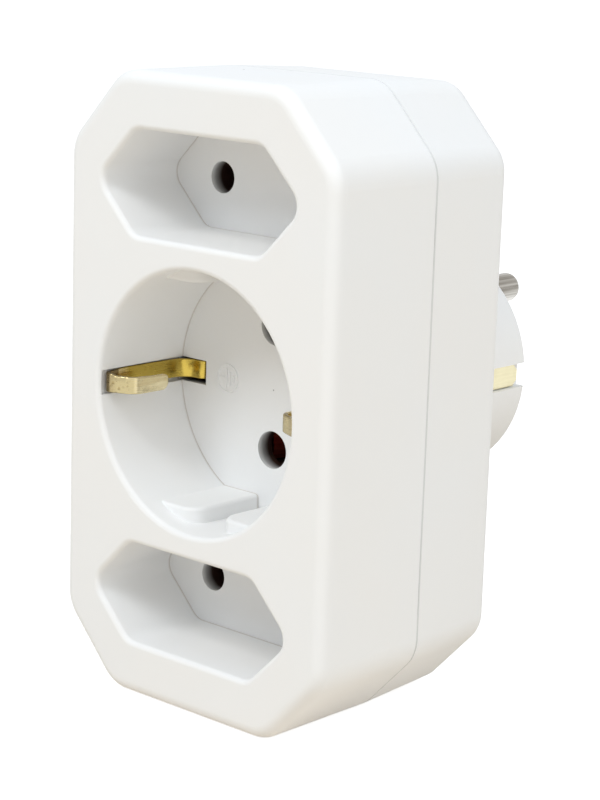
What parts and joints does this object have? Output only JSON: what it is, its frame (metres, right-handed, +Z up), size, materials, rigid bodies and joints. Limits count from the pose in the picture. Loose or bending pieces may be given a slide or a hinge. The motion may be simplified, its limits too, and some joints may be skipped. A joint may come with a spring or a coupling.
{
  "type": "plug-in socket adapter",
  "caption": "Octagonal plug-in adapter: an earthed round socket between flat unearthed sockets on the front, and an earthed round plug with pins on the back.",
  "frame": {"origin": "middle of the plug's end face, midway between its pins", "axes": "+Y along the pins, out of the back; +Z up, along the housing's long side; +X to the right seen from the sockets"},
  "size_m": [0.0534, 0.0756, 0.0944],
  "materials": {
    "white_plastic": "satin, slightly warm white moulding",
    "carrier_plastic": "satin, slightly warm white moulding",
    "nickel": "bright nickel plate with fine drawn lines",
    "brass": "stamped sheet brass",
    "contact_metal": "coppery spring bronze",
    "earth_brass": "bright rolled brass strip",
    "steel": "zinc-plated steel"
  },
  "bodies": {
    "root": {"front_shell": "white_plastic", "rear_shell": "white_plastic", "contact_carrier": "carrier_plastic", "line_pin": "nickel", "neutral_pin": "nickel", "line_rail": "brass", "neutral_rail": "brass", "line_contact": "contact_metal", "neutral_contact": "contact_metal", "upper_left_contact": "contact_metal", "upper_right_contact": "contact_metal", "lower_left_contact": "contact_metal", "lower_right_contact": "contact_metal", "right_earth_clip": "earth_brass", "left_earth_clip": "earth_brass", "earth_strap": "earth_brass", "earth_rivets": "brass", "contact_rivets": "brass", "housing_screws": "steel"}
  },
  "joints": []
}
